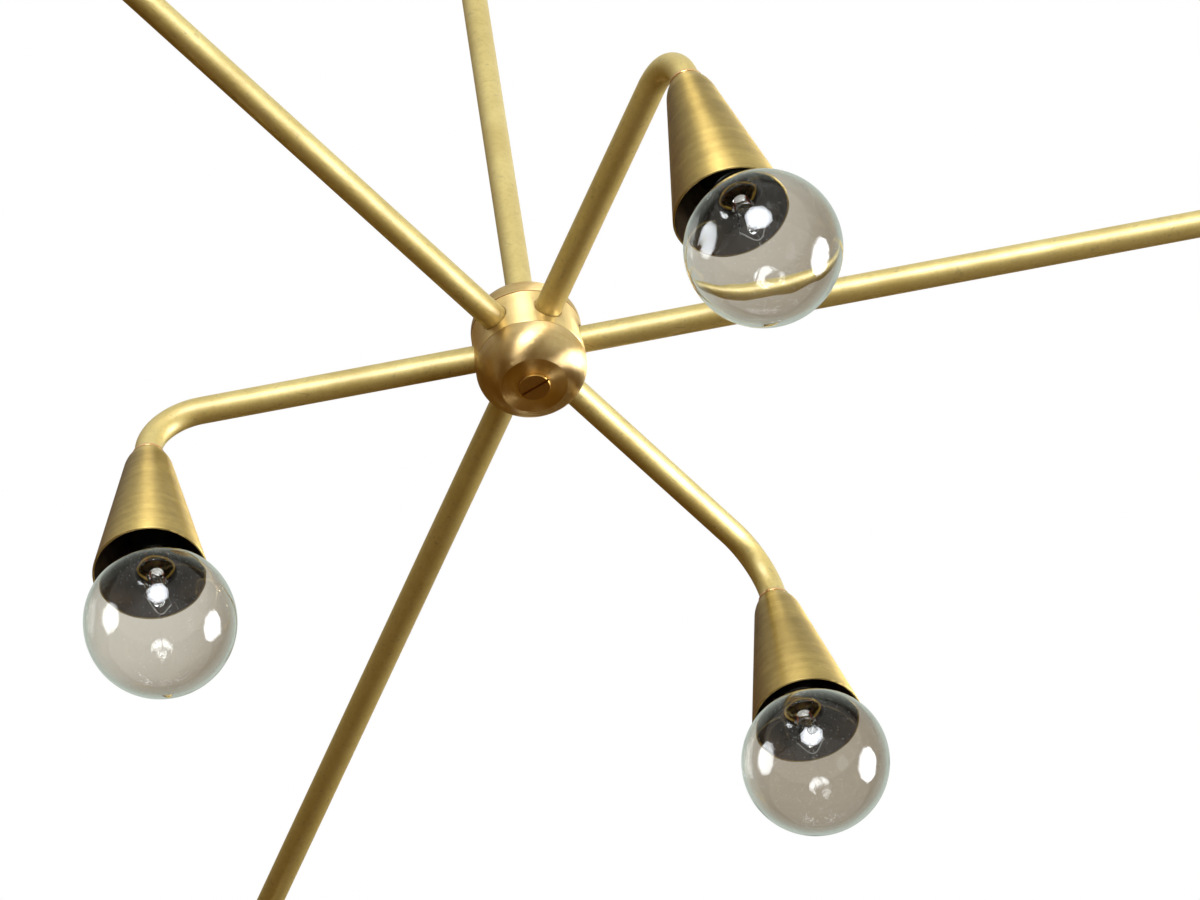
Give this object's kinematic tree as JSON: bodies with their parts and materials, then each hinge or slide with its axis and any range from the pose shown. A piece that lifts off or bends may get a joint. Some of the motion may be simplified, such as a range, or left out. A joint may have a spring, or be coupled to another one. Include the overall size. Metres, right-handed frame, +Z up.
{
  "type": "sputnik chandelier",
  "caption": "Ceiling chandelier: bent tube arms of two lengths spread from a round hub on a stem, each with a downward cone and a clear globe bulb.",
  "frame": {"origin": "centre of the ceiling strap's two screw slots, on the ceiling", "axes": "+Z up into the ceiling, +X along long arm 1"},
  "size_m": [0.5764, 0.6578, 0.5775],
  "materials": {
    "tube_brass": "aged, mottled, lightly scratched",
    "hub_brass": "turned, satin",
    "cone_brass": "brushed round, antique",
    "collar_brass": "polished",
    "fastener_brass": "plain",
    "strap_steel": "zinc plated",
    "holder_plastic": "matt",
    "bulb_glass": "clear",
    "base_brass": "plain, bright",
    "filament_metal": "wire in clear glass"
  },
  "bodies": {
    "root": {"hub_band": "hub_brass", "hub_top_cap": "hub_brass", "hub_bottom_cap": "hub_brass", "hub_bracket": "fastener_brass", "cap_screw": "hub_brass", "stem": "tube_brass", "stem_nuts": "fastener_brass", "ceiling_strap": "strap_steel", "ground_screw": "fastener_brass"},
    "canopy": {"canopy": "hub_brass", "slip_collar": "hub_brass", "slip_collar_screw": "hub_brass"},
    "arm_1": {"arm_1": "tube_brass", "arm_nuts_1": "fastener_brass", "collar_1": "collar_brass", "cone_1": "cone_brass", "lamp_holder_1": "holder_plastic"},
    "bulb_1": {"bulb_glass_1": "bulb_glass", "bulb_base_1": "base_brass", "filament_1": "filament_metal"},
    "arm_2": {"arm_2": "tube_brass", "arm_nuts_2": "fastener_brass", "collar_2": "collar_brass", "cone_2": "cone_brass", "lamp_holder_2": "holder_plastic"},
    "bulb_2": {"bulb_glass_2": "bulb_glass", "bulb_base_2": "base_brass", "filament_2": "filament_metal"},
    "arm_3": {"arm_3": "tube_brass", "arm_nuts_3": "fastener_brass", "collar_3": "collar_brass", "cone_3": "cone_brass", "lamp_holder_3": "holder_plastic"},
    "bulb_3": {"bulb_glass_3": "bulb_glass", "bulb_base_3": "base_brass", "filament_3": "filament_metal"},
    "arm_4": {"arm_4": "tube_brass", "arm_nuts_4": "fastener_brass", "collar_4": "collar_brass", "cone_4": "cone_brass", "lamp_holder_4": "holder_plastic"},
    "bulb_4": {"bulb_glass_4": "bulb_glass", "bulb_base_4": "base_brass", "filament_4": "filament_metal"},
    "arm_5": {"arm_5": "tube_brass", "arm_nuts_5": "fastener_brass", "collar_5": "collar_brass", "cone_5": "cone_brass", "lamp_holder_5": "holder_plastic"},
    "bulb_5": {"bulb_glass_5": "bulb_glass", "bulb_base_5": "base_brass", "filament_5": "filament_metal"},
    "arm_6": {"arm_6": "tube_brass", "arm_nuts_6": "fastener_brass", "collar_6": "collar_brass", "cone_6": "cone_brass", "lamp_holder_6": "holder_plastic"},
    "bulb_6": {"bulb_glass_6": "bulb_glass", "bulb_base_6": "base_brass", "filament_6": "filament_metal"}
  },
  "joints": [
    {"name": "canopy_drop", "type": "slide", "parent": "root", "child": "canopy", "axis": [0, 0, -1], "range_m": [0, 0.25]},
    {"name": "arm_1_turn", "type": "hinge", "parent": "root", "child": "arm_1", "pos_m": [0, 0, -0.44], "axis": [1, 0, 0], "range_deg": [-90, 90]},
    {"name": "bulb_1_unscrew", "type": "slide", "parent": "arm_1", "child": "bulb_1", "axis": [0, 0, -1], "range_m": [0, 0.0127]},
    {"name": "arm_2_turn", "type": "hinge", "parent": "root", "child": "arm_2", "pos_m": [0, 0, -0.44], "axis": [0.5, 0.866, 0], "range_deg": [-87.1, 92.9]},
    {"name": "bulb_2_unscrew", "type": "slide", "parent": "arm_2", "child": "bulb_2", "axis": [0.0332, -0.0333, -0.9989], "range_m": [0, 0.0127]},
    {"name": "arm_3_turn", "type": "hinge", "parent": "root", "child": "arm_3", "pos_m": [0, 0, -0.44], "axis": [-0.5, 0.866, 0], "range_deg": [-90, 90]},
    {"name": "bulb_3_unscrew", "type": "slide", "parent": "arm_3", "child": "bulb_3", "axis": [0, 0, -1], "range_m": [0, 0.0127]},
    {"name": "arm_4_turn", "type": "hinge", "parent": "root", "child": "arm_4", "pos_m": [0, 0, -0.44], "axis": [-1, 0, 0], "range_deg": [-93.8, 86.2]},
    {"name": "bulb_4_unscrew", "type": "slide", "parent": "arm_4", "child": "bulb_4", "axis": [0.0088, -0.0175, -0.9998], "range_m": [0, 0.0127]},
    {"name": "arm_5_turn", "type": "hinge", "parent": "root", "child": "arm_5", "pos_m": [0, 0, -0.44], "axis": [-0.5, -0.866, 0], "range_deg": [-90, 90]},
    {"name": "bulb_5_unscrew", "type": "slide", "parent": "arm_5", "child": "bulb_5", "axis": [0, 0, -1], "range_m": [0, 0.0127]},
    {"name": "arm_6_turn", "type": "hinge", "parent": "root", "child": "arm_6", "pos_m": [0, 0, -0.44], "axis": [0.5, -0.866, 0], "range_deg": [-96.9, 83.1]},
    {"name": "bulb_6_unscrew", "type": "slide", "parent": "arm_6", "child": "bulb_6", "axis": [0.1617, 0.0531, -0.9854], "range_m": [0, 0.0127]}
  ]
}
